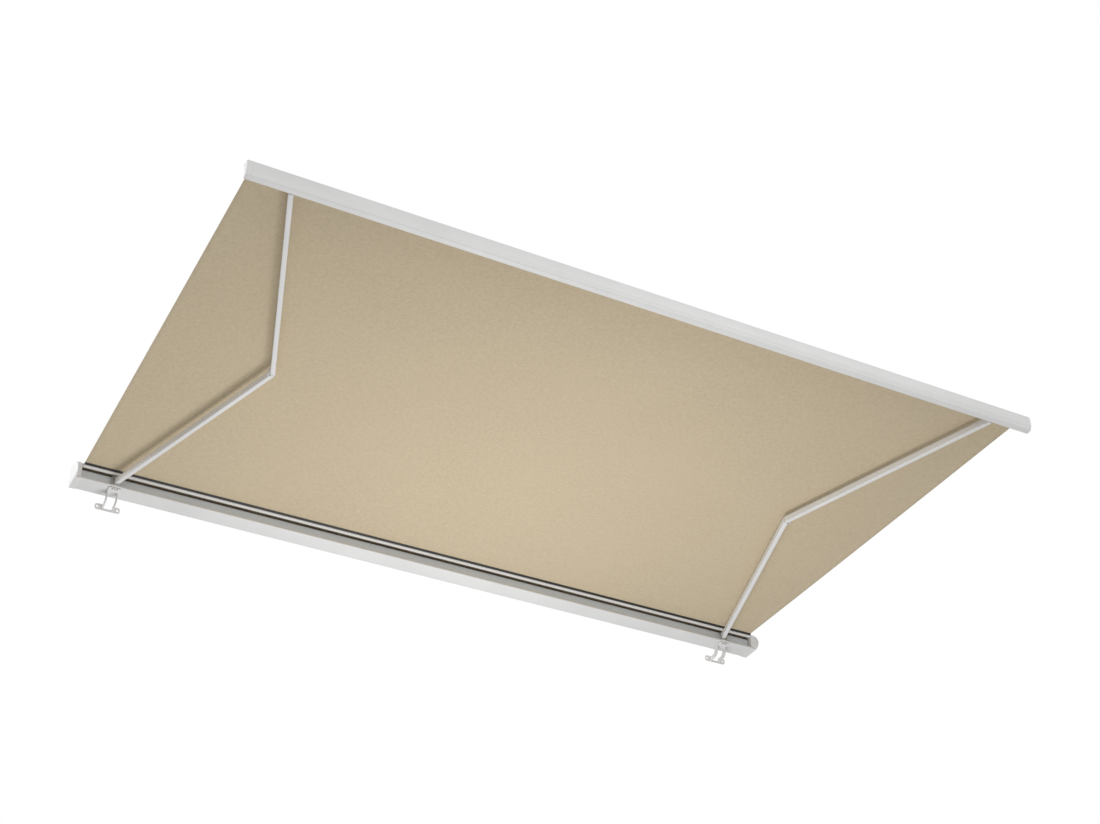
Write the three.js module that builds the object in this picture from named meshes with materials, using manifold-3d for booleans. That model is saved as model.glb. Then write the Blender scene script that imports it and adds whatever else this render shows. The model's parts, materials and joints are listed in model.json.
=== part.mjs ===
// Folding-arm awning in a full cassette, drawn fully out. Millimetres, +Z up.
// x = 0 is mid-width, y = 0 is the wall face, and z = 0 is the height of the wall screws.
// The awning reaches towards -Y. Every piece is a named mesh in the exported group.
import * as THREE from "three";
import { mergeVertices } from "three/addons/utils/BufferGeometryUtils.js";
import Module from "manifold-3d";

// ---------------------------------------------------------------- driving dimensions
const HALF_WIDTH = 2250; // mid-width to the rim of an end cap, and to the end of the front bar
const HALF_MOUTH = 2225; // mid-width to the inner face of an end cap
const HALF_CLOTH = 2218;
const MOUTH_Y = -138; // front lip of the cassette
const CLOTH_Z = 171; // underside of the stretched cloth
const TRAVEL = 2767; // how far the front bar moves between shut and open
const SHUT_GAP = 2; // from the cassette's lip to the front bar's lip when shut
const BAR_LIP_Y = MOUTH_Y - SHUT_GAP - TRAVEL;
const GAP = 0.4; // left between pieces that touch

const WALL = 2.5; // wall of the extruded profiles
const ROLLER = { depth: 84, rise: -40, radius: 38.5, wall: 1.5 };
const CLOTH_THICK = 1.2;

// Folding arms: shoulder and wrist pivots share one x, and both tubes are equally long
// between their pivots, so the front bar moves straight out and stays parallel.
const ARM = { width: 26, height: 38, wall: 2.5, corner: 5, rise: -57 };
const SHOULDER_X = 2022;
const SHOULDER_DEPTH = 22;
const WRIST_DEPTH = -12; // from the front bar's lip
const ELBOW_X = 1610;
const ELBOW_OFFSET = 15; // tube centre line to elbow pivot, on the side that points to mid-width
const BLOCK = { start: -3.5, end: 60, plug: 38 }; // full-size stretch and plug of an elbow casting
const END_BLOCK = 55; // pivot to tube end at shoulder and wrist
const EYE_END = 30; // pivot to the full-size stretch there
const PIN_R = 6;
const PIN_CLEARANCE = 0.4;

const BRACKET_X = 2023;
const PLATE = 6; // wall brackets' thickness

// ---------------------------------------------------------------- shape helpers
const wasm = await Module();
wasm.setup();

const X = new THREE.Vector3(1, 0, 0);
const Y = new THREE.Vector3(0, 1, 0);
const Z = new THREE.Vector3(0, 0, 1);

// A point of the cassette's section: depth behind the mouth, rise above the cloth.
const at = (depth, rise) => [MOUTH_Y + depth, CLOTH_Z + rise];
// A point of the front bar's section: depth behind its lip, rise above the cloth.
const barAt = (depth, rise) => [BAR_LIP_Y + depth, CLOTH_Z + rise];

function shapeOf(outline, holes = []) {
  const shape = new THREE.Shape(outline.map(([a, b]) => new THREE.Vector2(a, b)));
  for (const hole of holes)
    shape.holes.push(new THREE.Path(hole.map(([a, b]) => new THREE.Vector2(a, b))));
  return shape;
}

function extrude(shape, length) {
  return new THREE.ExtrudeGeometry(shape, {
    depth: length,
    bevelEnabled: false,
    curveSegments: 12,
  });
}

// A (y, z) outline drawn out along X, from x0 to x1.
function alongX(outline, x0, x1, holes) {
  const g = extrude(shapeOf(outline, holes), x1 - x0);
  return g.applyMatrix4(new THREE.Matrix4().makeBasis(Y, Z, X)).translate(x0, 0, 0);
}

// An (x, z) outline drawn out along Y, from y0 to y1.
function alongY(outline, y0, y1, holes) {
  const g = extrude(shapeOf(outline, holes), y1 - y0);
  return g.applyMatrix4(new THREE.Matrix4().makeBasis(X, Z, Y.clone().negate())).translate(0, y1, 0);
}

// An (x, y) outline drawn out along Z, from z0 to z1.
function alongZ(outline, z0, z1, holes) {
  return extrude(shapeOf(outline, holes), z1 - z0).translate(0, 0, z0);
}

const box = (x0, x1, y0, y1, z0, z1) =>
  new THREE.BoxGeometry(x1 - x0, y1 - y0, z1 - z0).translate(
    (x0 + x1) / 2,
    (y0 + y1) / 2,
    (z0 + z1) / 2,
  );

function circle(a, b, radius, sides = 20) {
  return Array.from({ length: sides }, (_, i) => {
    const turn = (2 * Math.PI * i) / sides;
    return [a + radius * Math.cos(turn), b + radius * Math.sin(turn)];
  });
}

const rodX = ([y, z], radius, x0, x1, sides = 20) => alongX(circle(y, z, radius, sides), x0, x1);
const rodZ = ([x, y], radius, z0, z1, sides = 20) => alongZ(circle(x, y, radius, sides), z0, z1);
const ringX = ([y, z], outer, inner, x0, x1, sides = 28) =>
  alongX(circle(y, z, outer, sides), x0, x1, [circle(y, z, inner, sides)]);

// Rounds the inner corners of an open path, or every corner of a closed one.
function rounded(points, radius, closed = false, steps = 3) {
  const out = [];
  points.forEach(([a, b], i) => {
    if (!closed && (i === 0 || i === points.length - 1)) {
      out.push([a, b]);
      return;
    }
    const before = points[(i + points.length - 1) % points.length];
    const after = points[(i + 1) % points.length];
    const toward = ([p, q]) => {
      const length = Math.hypot(p - a, q - b);
      const cut = Math.min(radius, 0.45 * length) / length;
      return [a + (p - a) * cut, b + (q - b) * cut];
    };
    const [s, e] = [toward(before), toward(after)];
    for (let k = 0; k <= steps; k++) {
      const t = k / steps;
      const mix = (j, c) => (1 - t) ** 2 * s[j] + 2 * t * (1 - t) * c + t * t * e[j];
      out.push([mix(0, a), mix(1, b)]);
    }
  });
  return out;
}

// The outline of a strip of even thickness that lies on the left of an open path.
function strip(path, thickness) {
  const normal = (p, q) => {
    const length = Math.hypot(q[0] - p[0], q[1] - p[1]);
    return [-(q[1] - p[1]) / length, (q[0] - p[0]) / length];
  };
  const side = path.map((p, i) => {
    const n1 = i > 0 ? normal(path[i - 1], p) : normal(p, path[i + 1]);
    const n2 = i < path.length - 1 ? normal(p, path[i + 1]) : n1;
    const scale = thickness / (1 + n1[0] * n2[0] + n1[1] * n2[1]);
    return [p[0] + (n1[0] + n2[0]) * scale, p[1] + (n1[1] + n2[1]) * scale];
  });
  return [...path, ...side.reverse()];
}

// The outline drawn in towards a middle point by a share of the way.
const drawnIn = (outline, [ma, mb], share) =>
  outline.map(([a, b]) => [a + (ma - a) * share, b + (mb - b) * share]);

const isCounterclockwise = (points) =>
  THREE.ShapeUtils.area(points.map(([a, b]) => new THREE.Vector2(a, b))) > 0;
const oriented = (points) => (isCounterclockwise(points) ? points : points.slice().reverse());

// A closed body through stacked outlines of equally many points.
function loft(rings) {
  const flat = [];
  const index = [];
  const n = rings[0].points.length;
  for (const ring of rings) for (const [y, z] of ring.points) flat.push(ring.x, y, z);
  for (let r = 0; r + 1 < rings.length; r++)
    for (let i = 0; i < n; i++) {
      const [a, b] = [r * n + i, r * n + ((i + 1) % n)];
      index.push(a, b, a + n, b, b + n, a + n);
    }
  const contour = rings[0].points.map(([y, z]) => new THREE.Vector2(y, z));
  for (const [p, q, s] of THREE.ShapeUtils.triangulateShape(contour, [])) {
    index.push(q, p, s);
    const top = (rings.length - 1) * n;
    index.push(p + top, q + top, s + top);
  }
  return new THREE.BufferGeometry()
    .setAttribute("position", new THREE.BufferAttribute(new Float32Array(flat), 3))
    .setIndex(index);
}

function solidOf(geometry) {
  const bare = geometry.clone();
  bare.deleteAttribute("normal");
  bare.deleteAttribute("uv");
  const merged = mergeVertices(bare, 1e-4);
  return new wasm.Manifold(
    new wasm.Mesh({
      numProp: 3,
      vertProperties: merged.attributes.position.array,
      triVerts: new Uint32Array(merged.index.array),
    }),
  );
}

function geometryOf(solid) {
  const mesh = solid.getMesh();
  return new THREE.BufferGeometry()
    .setAttribute("position", new THREE.BufferAttribute(mesh.vertProperties, 3))
    .setIndex(new THREE.BufferAttribute(mesh.triVerts, 1));
}

function join(...geometries) {
  return geometryOf(geometries.map(solidOf).reduce((a, b) => a.add(b)));
}

function cut(geometry, ...tools) {
  return geometryOf(tools.map(solidOf).reduce((a, b) => a.subtract(b), solidOf(geometry)));
}

// ---------------------------------------------------------------- materials and the scene graph
const finish = (color, roughness, metalness) =>
  new THREE.MeshStandardMaterial({ color, roughness, metalness });
const paint = () => finish(0xf1f0ed, 0.45, 0.1);
const plastic = () => finish(0xefeeea, 0.55, 0);
const steel = () => finish(0xb9bbbd, 0.35, 0.9);
const darkSteel = () => finish(0x4c4e50, 0.5, 0.8);
const cloth = () => finish(0xc8b995, 0.9, 0);
const blackPlastic = () => finish(0x242424, 0.6, 0);

const awning = new THREE.Group();
function add(name, geometry, material, parent = awning) {
  const mesh = new THREE.Mesh(geometry, material);
  mesh.name = name;
  parent.add(mesh);
  return mesh;
}

const SIDES = [
  { word: "left", sign: -1 },
  { word: "right", sign: 1 },
];
const span = (sign, a, b) => (sign > 0 ? [a, b] : [-b, -a]);

// ---------------------------------------------------------------- cassette profiles
const rollerAxis = at(ROLLER.depth, ROLLER.rise);
const HALF_PROFILE = HALF_MOUTH - GAP;
const FLOOR_FRONT = -101; // rise of the floor's underside at the lip
const FLOOR_BACK = -104; // and at the back
const HOUSING_BACK = 134; // depth of the housing's back face
const SHELL_TOP = -62; // rise where the bottom shell's back wall meets the back housing
const HOOD_SEAM = 96; // depth where the back housing meets the top hood
const HEEL = 40; // rounding of the floor's rear corner

// Rise of the floor's upper face at a depth.
const floorAt = (depth) =>
  FLOOR_FRONT + ((FLOOR_BACK - FLOOR_FRONT) * depth) / HOUSING_BACK + WALL;

// Bottom shell: a low rolled lip, a long floor and a back wall with a wide heel.
const bottomPath = [
  ...rounded([at(3, -89), at(0, -94), at(0, FLOOR_FRONT), at(40, floorAt(40) - WALL)], 5),
  ...rounded(
    [at(60, floorAt(60) - WALL), at(HOUSING_BACK, FLOOR_BACK), at(HOUSING_BACK, SHELL_TOP)],
    HEEL,
    false,
    6,
  ).slice(1),
];
add("bottom_shell", alongX(strip(bottomPath, WALL), -HALF_PROFILE, HALF_PROFILE), paint());

// Back housing: stands on the bottom shell and turns forward over the roller.
const backPath = rounded(
  [at(HOUSING_BACK, SHELL_TOP + GAP), at(HOUSING_BACK, 33), at(HOOD_SEAM, 34)],
  12,
);
add("back_housing", alongX(strip(backPath, WALL), -HALF_PROFILE, HALF_PROFILE), paint());

// Top hood: runs from the back housing to a nose just above the cloth.
const hoodPath = rounded(
  [at(HOOD_SEAM - GAP, 34), at(60, 33), at(43, 27), at(24, 12), at(23, 7)],
  6,
);
add("top_hood", alongX(strip(hoodPath, WALL), -HALF_PROFILE, HALF_PROFILE), paint());

// Arm bay panel: the upright screen between the folded arms and the roller.
const PANEL = { depth: 36.2, top: -24, lean: 5, foot: 11, wall: 1.8, half: HALF_MOUTH - 3 };
const panelFoot = floorAt(PANEL.depth);
const panelPath = rounded(
  [
    at(PANEL.depth + PANEL.lean, PANEL.top + 4),
    at(PANEL.depth, PANEL.top),
    at(PANEL.depth, panelFoot + GAP),
    at(PANEL.depth + PANEL.foot, panelFoot),
  ],
  3,
  false,
  2,
);
add("arm_bay_panel", alongX(strip(panelPath, PANEL.wall), -PANEL.half, PANEL.half), paint());

// Guide tube inside the mouth, close under the cloth. A plug in each end of it has a spigot
// that sits in the end cap.
const GUIDE = { depth: 8, rise: -11.6, radius: 10, wall: 1.6, half: HALF_MOUTH - 3 };
const GUIDE_PLUG = { length: 30, spigot: 4, deep: 8 };
const guideAxis = at(GUIDE.depth, GUIDE.rise);
const guideInner = GUIDE.radius - GUIDE.wall;
add("guide_tube", ringX(guideAxis, GUIDE.radius, guideInner, -GUIDE.half, GUIDE.half), paint());
for (const { word, sign } of SIDES) {
  const [plugStart, plugEnd] = span(sign, GUIDE.half - GUIDE_PLUG.length, GUIDE.half);
  const [tipStart, tipEnd] = span(sign, GUIDE.half - 1, HALF_MOUTH + GUIDE_PLUG.deep);
  add(
    `guide_plug_${word}`,
    join(
      rodX(guideAxis, guideInner - GAP, plugStart, plugEnd),
      rodX(guideAxis, GUIDE_PLUG.spigot, tipStart, tipEnd, 12),
    ),
    blackPlastic(),
  );
}

// Rubber seal on the tube: a wedge that fills the corner between the tube and the cloth.
const SEAL = { tip: -15.5, top: -0.9, thin: 0.8, from: 105, to: 165, half: HALF_CLOTH };
const sealFoot = [];
for (let degrees = SEAL.to; degrees >= SEAL.from; degrees -= 10) {
  const turn = (degrees * Math.PI) / 180;
  const reach = GUIDE.radius + GAP;
  sealFoot.push([guideAxis[0] + reach * Math.cos(turn), guideAxis[1] + reach * Math.sin(turn)]);
}
const sealOutline = oriented([
  at(SEAL.tip, SEAL.top),
  at(SEAL.tip, SEAL.top - SEAL.thin),
  ...sealFoot,
]);
add("mouth_seal", alongX(sealOutline, -SEAL.half, SEAL.half), blackPlastic());

// ---------------------------------------------------------------- end caps
// The cap's body fills the cassette's section. Its outer skin reaches further forward,
// so that the shut front bar goes in between the two skins.
const capBody = [
  ...rounded(
    [
      at(60, -107),
      at(4, -107),
      at(1, -100),
      at(1, -2),
      at(21.5, 5),
      at(22, 12),
      at(43, 29),
      at(60, 35.5),
      at(136, 35.5),
      at(136, -40),
    ],
    4,
    false,
    2,
  ),
  ...rounded([at(136, -50), at(136, -107), at(70, -107)], HEEL, false, 5),
];
const capSkin = oriented([
  ...rounded(
    [
      at(70, -107),
      at(8, -107),
      at(-22, -104),
      at(-38, -84),
      at(-40, -60),
      at(-12, -15),
      at(46, 29),
      at(62, 36.5),
      at(126, 36.5),
      at(136.5, 24),
      at(136.5, -40),
    ],
    14,
  ),
  ...rounded([at(136.5, -50), at(136.5, -107), at(80, -107)], HEEL, false, 5),
]);
const skinMiddle = at(56, -38);
// The skin's rings: how far each lies beyond HALF_WIDTH and how far it is drawn in.
const SKIN_RINGS = [
  { out: 1.2, share: 0 },
  { out: 5, share: 0 },
  { out: 10, share: 0.06 },
  { out: 14, share: 0.2 },
];

function capSkinSolid(sign) {
  const rings = SKIN_RINGS.map(({ out, share }) => ({
    x: sign * (HALF_WIDTH + out),
    points: drawnIn(capSkin, skinMiddle, share),
  }));
  return loft(sign > 0 ? rings : rings.reverse());
}

// Screws in the end caps' front faces: head is how far the head lies before its depth.
const CAP_SCREW = { x: HALF_WIDTH - 12, radius: 2.1, length: 13 };
const CAP_SCREWS = [
  { word: "upper", depth: 31, rise: 15, head: 6 },
  { word: "lower", depth: 1, rise: -92, head: 1.2 },
];
const GUIDE_BORE = { wider: GAP, deep: GUIDE_PLUG.deep + GAP };
const SEAT = { before: 20, after: CAP_SCREW.length + 1 };
// Sockets of the end caps: a round one for the roller's bearing and a square one for the motor.
const SOCKET = { deep: 14, left: 16, right: 11, sides: { left: 24, right: 4 } };
for (const { word, sign } of SIDES) {
  const [x0, x1] = span(sign, HALF_MOUTH, HALF_WIDTH + 2);
  const seats = CAP_SCREWS.map(({ depth, rise }) => {
    const [y, z] = at(depth, rise);
    const seat = circle(sign * CAP_SCREW.x, z, CAP_SCREW.radius + GAP, 12);
    return alongY(seat, y - SEAT.before, y + SEAT.after);
  });
  const [p0, p1] = span(sign, HALF_MOUTH - 1, HALF_MOUTH + SOCKET.deep + GAP);
  const socket = rodX(rollerAxis, SOCKET[word] + GAP, p0, p1, SOCKET.sides[word]);
  const [b0, b1] = span(sign, HALF_MOUTH - 1, HALF_MOUTH + GUIDE_BORE.deep);
  const guideBore = rodX(guideAxis, GUIDE_PLUG.spigot + GUIDE_BORE.wider, b0, b1, 12);
  add(
    `end_cap_${word}`,
    join(cut(alongX(capBody, x0, x1), ...seats, socket, guideBore), capSkinSolid(sign)),
    plastic(),
  );
  for (const { word: level, depth, rise, head } of CAP_SCREWS) {
    const [y, z] = at(depth, rise);
    const section = circle(sign * CAP_SCREW.x, z, CAP_SCREW.radius, 12);
    const screw = alongY(section, y - head, y + CAP_SCREW.length);
    add(`end_cap_screw_${word}_${level}`, screw, darkSteel());
  }
}

// ---------------------------------------------------------------- roller, motor and cloth
const HALF_ROLLER = 2219;
const rollerInner = ROLLER.radius - ROLLER.wall;
add(
  "roller_tube",
  ringX(rollerAxis, ROLLER.radius, rollerInner, -HALF_ROLLER, HALF_ROLLER),
  steel(),
);
add(
  "cloth_turns",
  ringX(rollerAxis, -ROLLER.rise - GAP, ROLLER.radius + GAP, -HALF_CLOTH, HALF_CLOTH, 36),
  cloth(),
);
// The tube motor fills the right end: its head carries the roller on a crown, its drive shaft
// turns the roller by a wheel, and its square neck sits in the right end cap.
const MOTOR = { radius: 22.5, start: 1580, head: 2170, headRadius: 27 };
const DRIVE = { shaft: 9, length: 26, wheel: 22 };
const PLUG = { length: 60, spigot: 7 };
const motorNeck = [HALF_ROLLER + 2, HALF_MOUTH + SOCKET.deep];
add(
  "tube_motor",
  join(
    rodX(rollerAxis, MOTOR.radius, MOTOR.start, MOTOR.head),
    rodX(rollerAxis, MOTOR.headRadius, MOTOR.head - 2, HALF_ROLLER + 3),
    rodX(rollerAxis, DRIVE.shaft, MOTOR.start - DRIVE.length, MOTOR.start + 1, 6),
    rodX(rollerAxis, SOCKET.right, ...motorNeck, SOCKET.sides.right),
  ),
  darkSteel(),
);
add(
  "motor_crown",
  ringX(
    rollerAxis,
    rollerInner - GAP,
    MOTOR.headRadius + GAP,
    MOTOR.head + 8,
    HALF_ROLLER - 1,
    24,
  ),
  blackPlastic(),
);
const wheelEnd = MOTOR.start - 2;
add(
  "drive_wheel",
  ringX(rollerAxis, rollerInner - GAP, DRIVE.shaft + GAP, wheelEnd - DRIVE.wheel, wheelEnd, 24),
  blackPlastic(),
);
// The other end turns on a plug, whose spigot runs in a bearing in the left end cap.
const spigotEnd = -HALF_MOUTH - SOCKET.deep;
add(
  "roller_plug",
  join(
    rodX(rollerAxis, rollerInner - GAP, -HALF_ROLLER + 1, -HALF_ROLLER + PLUG.length, 24),
    rodX(rollerAxis, PLUG.spigot, spigotEnd, -HALF_ROLLER + 2, 16),
  ),
  blackPlastic(),
);
add(
  "roller_bearing",
  ringX(rollerAxis, SOCKET.left, PLUG.spigot + GAP, spigotEnd, -HALF_MOUTH + 3, 24),
  plastic(),
);

// The cloth runs from the top of the roller to the front bar, as one thin closed sheet.
const KEDER = { depth: -20, rise: 0.6, radius: 2.2, groove: 3, slot: 20 };
add(
  "canopy",
  box(
    -HALF_CLOTH,
    HALF_CLOTH,
    barAt(KEDER.depth + KEDER.radius + GAP, 0)[0],
    rollerAxis[0],
    CLOTH_Z,
    CLOTH_Z + CLOTH_THICK,
  ),
  cloth(),
);

// ---------------------------------------------------------------- front bar
// One hollow-backed profile: a rounded foot, a shallow valley above it, an upright face, and
// a cover that runs back over the cloth's edge as far as the hood when shut.
const barPath = rounded(
  [
    barAt(0, -85),
    barAt(-20, -84.5),
    barAt(-33, -80),
    barAt(-34.5, -71),
    barAt(-41, -56),
    barAt(-41.5, -32),
    barAt(-39.5, -6),
    barAt(-33, 7),
    barAt(20, 12.5),
  ],
  7,
).reverse();
const keder = barAt(KEDER.depth, KEDER.rise);
const HALF_BAR = HALF_MOUTH - 3;
// The rib under the cover holds the groove for the keder cord in the cloth's edge.
const rib = [
  barAt(-38.8, -9.5),
  barAt(-24, -5.2),
  barAt(-15.5, -2.2),
  barAt(-15.5, 7.2),
  barAt(-28, 6),
];
const PAST = HALF_BAR + 1;
const SLOT_ROOM = 0.6;
const clothSlot = box(
  -PAST,
  PAST,
  keder[0],
  keder[0] + KEDER.slot,
  CLOTH_Z - SLOT_ROOM,
  CLOTH_Z + CLOTH_THICK + SLOT_ROOM,
);
add(
  "front_bar",
  cut(
    join(
      alongX(strip(barPath, WALL), -HALF_BAR, HALF_BAR),
      alongX(rib, -HALF_BAR, HALF_BAR),
    ),
    rodX(keder, KEDER.groove, -PAST, PAST, 16),
    clothSlot,
  ),
  paint(),
);
add("keder_rod", rodX(keder, KEDER.radius, -HALF_CLOTH, HALF_CLOTH, 12), blackPlastic());

// Plugs that close the bar's ends, drawn in a little towards their outer faces.
const barCap = oriented([...barPath, barAt(0, -85 + WALL), barAt(0, -1), barAt(20, 8)]);
const barCapMiddle = barAt(-18, -42);
const BAR_CAP_RINGS = [
  { x: HALF_BAR + GAP, share: 0 },
  { x: HALF_WIDTH - 5, share: 0 },
  { x: HALF_WIDTH - 0.5, share: 0.07 },
];
for (const { word, sign } of SIDES) {
  const rings = BAR_CAP_RINGS.map(({ x, share }) => ({
    x: sign * x,
    points: drawnIn(barCap, barCapMiddle, share),
  }));
  add(`bar_cap_${word}`, loft(sign > 0 ? rings : rings.reverse()), plastic());
}

// ---------------------------------------------------------------- folding arms
const armZ = (rise) => CLOTH_Z + rise;
const ARM_TOP = ARM.rise + ARM.height / 2;
const ARM_FOOT = ARM.rise - ARM.height / 2;
const BORE = { foot: ARM_FOOT - 34, top: ARM_TOP + 48 }; // past everything that a pin goes through
const TONGUE = { top: ARM.rise + 12, foot: ARM.rise - 12, eye: 12 };
const EYE_R = 13; // eyes of the forks and knuckles
const FORK_GAP = 1;
const EYE_ROOM = 1.3; // round an eye that turns
const NECK = 16; // elbow pivot to where the eye's neck is as wide as the tube
const shoulderY = MOUTH_Y + SHOULDER_DEPTH;
const wristY = BAR_LIP_Y + WRIST_DEPTH;
const elbowY = (shoulderY + wristY) / 2;
const ARM_LENGTH = Math.hypot(SHOULDER_X - ELBOW_X, shoulderY - elbowY);

const rectangle = (a0, a1, b0, b1) => [
  [a0, b0],
  [a1, b0],
  [a1, b1],
  [a0, b1],
];

// Hull of a round eye at the origin and the end face of a tube, in the plane of the arm.
function eyeToTube(radius, start, middle, width, sides = 20) {
  const points = circle(0, 0, radius, sides).concat([
    [start, middle - width / 2],
    [start, middle + width / 2],
  ]);
  const sorted = points.sort((p, q) => p[0] - q[0] || p[1] - q[1]);
  const turn = (o, a, b) => (a[0] - o[0]) * (b[1] - o[1]) - (a[1] - o[1]) * (b[0] - o[0]);
  const half = (list) => {
    const chain = [];
    for (const p of list) {
      while (chain.length > 1 && turn(chain.at(-2), chain.at(-1), p) <= 0) chain.pop();
      chain.push(p);
    }
    return chain.slice(0, -1);
  };
  return [...half(sorted), ...half(sorted.slice().reverse())];
}

// Each arm half is drawn along +X from its elbow pivot, with its tube on the +Y side for
// side = 1. The tube's centre line runs from the elbow offset to the pivot at the far end.
function armHalf(side) {
  const tilt = Math.atan2(-side * ELBOW_OFFSET, ARM_LENGTH);
  const line = (geometry) =>
    geometry.rotateZ(tilt).translate(0, side * ELBOW_OFFSET, 0);
  const section = (inset) =>
    rounded(
      rectangle(
        -ARM.width / 2 + inset,
        ARM.width / 2 - inset,
        armZ(ARM_FOOT) + inset,
        armZ(ARM_TOP) - inset,
      ),
      Math.max(ARM.corner - inset, 1.5),
      true,
      2,
    );
  const solidBar = (inset, s0, s1) => alongX(section(inset), s0, s1);
  const tube = line(
    alongX(section(0), BLOCK.end + GAP, ARM_LENGTH - END_BLOCK - GAP, [section(ARM.wall)]),
  );
  const plug = (s0, s1) => line(solidBar(ARM.wall + GAP, s0, s1));
  const block = (s0, s1) => line(solidBar(0, s0, s1));
  const bore = (x) => rodZ([x, 0], PIN_R + PIN_CLEARANCE, armZ(BORE.foot), armZ(BORE.top));
  const neck = (radius, rise0, rise1) =>
    alongZ(
      eyeToTube(radius, NECK, side * ELBOW_OFFSET, ARM.width - 1),
      armZ(rise0),
      armZ(rise1),
    );
  // The full-size stretch is hollowed round the pivot, where the other half's eye turns.
  const cornerBlock = (otherEye, ...layers) =>
    cut(
      block(BLOCK.start, BLOCK.end),
      ...layers.map(([rise0, rise1]) =>
        rodZ([0, 0], otherEye + EYE_ROOM, armZ(rise0), armZ(rise1), 32),
      ),
    );
  const plugAtElbow = () => plug(BLOCK.end - 1, BLOCK.end + BLOCK.plug);
  const fork = cut(
    join(
      neck(EYE_R, TONGUE.top + FORK_GAP, ARM_TOP),
      neck(EYE_R, ARM_FOOT, TONGUE.foot - FORK_GAP),
      cornerBlock(TONGUE.eye, [TONGUE.foot - FORK_GAP, TONGUE.top + FORK_GAP]),
      plugAtElbow(),
    ),
    bore(0),
  );
  const tongue = cut(
    join(
      neck(TONGUE.eye, TONGUE.foot, TONGUE.top),
      cornerBlock(EYE_R, [TONGUE.top, ARM_TOP + 1], [ARM_FOOT - 1, TONGUE.foot]),
      plugAtElbow(),
    ),
    bore(0),
  );
  // Knuckle at the far end: an eye of its own height, then a full block and a plug.
  const knuckle = (z0, z1) => {
    const eye = alongZ(eyeToTube(EYE_R, EYE_END + 2, 0, ARM.width - 1), armZ(z0), armZ(z1));
    return cut(
      join(
        eye.rotateZ(Math.PI + tilt).translate(ARM_LENGTH, 0, 0),
        block(ARM_LENGTH - END_BLOCK, ARM_LENGTH - EYE_END),
        plug(ARM_LENGTH - END_BLOCK - BLOCK.plug, ARM_LENGTH - END_BLOCK + 1),
      ),
      bore(ARM_LENGTH),
    );
  };
  return { tube, fork, tongue, knuckle, line };
}

// A close-wound spring, drawn as a sleeve with a groove between its turns.
function springSleeve(length, turns, outer, depth) {
  const pitch = length / turns;
  const points = [[0, 0]];
  for (let i = 0; i < turns; i++)
    points.push([outer - depth, i * pitch], [outer, (i + 0.5) * pitch]);
  points.push([outer - depth, length], [0, length]);
  const profile = points.map(([r, h]) => new THREE.Vector2(r, h));
  return new THREE.LatheGeometry(profile, 10).rotateZ(-Math.PI / 2);
}
const SPRING = { start: 620, length: 560, turns: 16, radius: 9.5, depth: 2.5 };
const ROD_R = 3;

// A C of two plates joined by a web on its outer side, drawn out along Y.
function pivotBracket({ inner, outer, web, foot, footTop, top, topFoot }, y0, y1) {
  const outline = [
    [inner, foot],
    [outer, foot],
    [outer, top],
    [inner, top],
    [inner, topFoot],
    [outer - web, topFoot],
    [outer - web, footTop],
    [inner, footTop],
  ].map(([x, rise]) => [x, armZ(rise)]);
  return (sign) =>
    alongY(oriented(outline.map(([x, z]) => [sign * x, z])), y0, y1);
}

// A pin with a head on top, which starts a little inside the shaft's end.
const PIN_HEAD = { wider: 3, thick: 2, into: 0.5 };
const pinGeometry = (x, y, foot, top) =>
  join(
    rodZ([x, y], PIN_R, armZ(foot), armZ(top)),
    rodZ([x, y], PIN_R + PIN_HEAD.wider, armZ(top) - PIN_HEAD.into, armZ(top) + PIN_HEAD.thick),
  );
const HEAD_ROOM = PIN_HEAD.into + GAP;

const SHOULDER_SPAN = [8, 35].map((depth) => MOUTH_Y + depth);
const SHOULDER_PLATE = 7;
const shoulderBracket = pivotBracket(
  {
    inner: SHOULDER_X - 18,
    outer: SHOULDER_X + 26,
    web: SHOULDER_PLATE,
    foot: floorAt(8) + GAP + 0.2,
    footTop: ARM_FOOT - 1,
    top: ARM_TOP + SHOULDER_PLATE,
    topFoot: ARM_TOP + 1,
  },
  ...SHOULDER_SPAN,
);

const WRIST = { top: ARM.rise + 13.5, foot: ARM.rise - 13.5 };
const WRIST_PLATE = 6.4;
const WRIST_PLAY = 0.8;
const WRIST_SIDES = { inner: SHOULDER_X - 15, outer: SHOULDER_X + 24 };
const wristBracket = pivotBracket(
  {
    ...WRIST_SIDES,
    web: 6,
    foot: WRIST.foot - WRIST_PLATE,
    footTop: WRIST.foot - WRIST_PLAY,
    top: WRIST.top + WRIST_PLATE,
    topFoot: WRIST.top + WRIST_PLAY,
  },
  BAR_LIP_Y - 24,
  BAR_LIP_Y - 2,
);
// The wrist bracket's pad, against the inside of the front bar's face, and the stem that
// joins it to the bracket's upper plate.
const PAD = { front: -38.3, back: -25.4, foot: -50, stemFront: -26, stemBack: -23.9 };
const wristPad = (sign) => {
  const [x0, x1] = span(sign, WRIST_SIDES.inner, WRIST_SIDES.outer);
  const top = armZ(WRIST.top + WRIST_PLATE);
  const stemFoot = armZ(WRIST.top + WRIST_PLAY);
  return join(
    box(x0, x1, BAR_LIP_Y + PAD.front, BAR_LIP_Y + PAD.back, armZ(PAD.foot), top),
    box(x0, x1, BAR_LIP_Y + PAD.stemFront, BAR_LIP_Y + PAD.stemBack, stemFoot, top),
  );
};

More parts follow.
